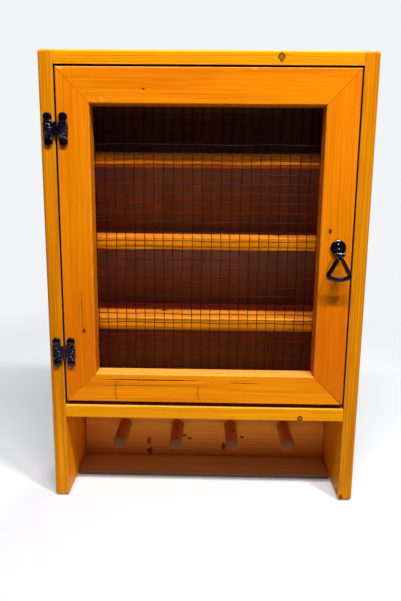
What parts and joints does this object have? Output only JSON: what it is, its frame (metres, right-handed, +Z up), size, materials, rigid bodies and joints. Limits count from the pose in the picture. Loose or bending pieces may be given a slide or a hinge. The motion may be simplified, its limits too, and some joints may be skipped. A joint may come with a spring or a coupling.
{
  "type": "wall cabinet",
  "caption": "Rustic stained pine wall cabinet with a wire mesh door over shelved bays and an open niche with pegs below, hung flat on a wall.",
  "frame": {"origin": "centre of the back panel's rear face, on the wall plane", "axes": "+X to the cabinet's right as its front is seen, +Y into the wall, +Z up; the front faces -Y"},
  "size_m": [0.423, 0.1378, 0.605],
  "materials": {
    "stained_pine": "satin",
    "stained_dowel": "satin",
    "brown_panel": "matte",
    "galvanised_wire": "satin",
    "black_iron": "gloss",
    "zinc_steel": "satin",
    "catch_plastic": "matte"
  },
  "bodies": {
    "case": {"left_side": "stained_pine", "right_side": "stained_pine", "top_board": "stained_pine", "floor_board": "stained_pine", "shelf_upper": "stained_pine", "shelf_middle": "stained_pine", "shelf_lower": "stained_pine", "peg_rail": "stained_pine", "lower_ledge": "stained_pine", "back_panel": "brown_panel", "peg_1": "stained_dowel", "peg_2": "stained_dowel", "peg_3": "stained_dowel", "peg_4": "stained_dowel", "hinge_top_case_leaf": "black_iron", "hinge_top_pin": "black_iron", "hinge_top_case_leaf_screw_upper": "black_iron", "hinge_top_case_leaf_screw_lower": "black_iron", "hinge_bottom_case_leaf": "black_iron", "hinge_bottom_pin": "black_iron", "hinge_bottom_case_leaf_screw_upper": "black_iron", "hinge_bottom_case_leaf_screw_lower": "black_iron", "hanger_left": "zinc_steel", "hanger_right": "zinc_steel", "hanger_left_screw_1": "zinc_steel", "hanger_left_screw_2": "zinc_steel", "hanger_right_screw_1": "zinc_steel", "hanger_right_screw_2": "zinc_steel", "catch_body": "catch_plastic", "catch_screw_upper": "zinc_steel", "catch_screw_lower": "zinc_steel"},
    "door": {"door_stile_hinge": "stained_pine", "door_stile_pull": "stained_pine", "door_rail_top": "stained_pine", "door_rail_bottom": "stained_pine", "wire_mesh": "galvanised_wire", "hinge_top_door_leaf": "black_iron", "hinge_top_door_leaf_screw_upper": "black_iron", "hinge_top_door_leaf_screw_lower": "black_iron", "hinge_bottom_door_leaf": "black_iron", "hinge_bottom_door_leaf_screw_upper": "black_iron", "hinge_bottom_door_leaf_screw_lower": "black_iron", "pull_rosette": "black_iron", "pull_pin": "black_iron", "pull_bolt": "zinc_steel", "catch_strike": "zinc_steel", "strike_screw": "zinc_steel"},
    "bail": {"pull_bail": "black_iron"}
  },
  "joints": [
    {"name": "door_hinge", "type": "hinge", "parent": "case", "child": "door", "pos_m": [-0.19115, -0.1247, 0.0707], "axis": [0, 0, -1], "range_deg": [0, 160]},
    {"name": "bail_swing", "type": "hinge", "parent": "door", "child": "bail", "pos_m": [0.1717, -0.1348, 0.0609], "axis": [-1, 0, 0], "range_deg": [-17, 100]}
  ]
}
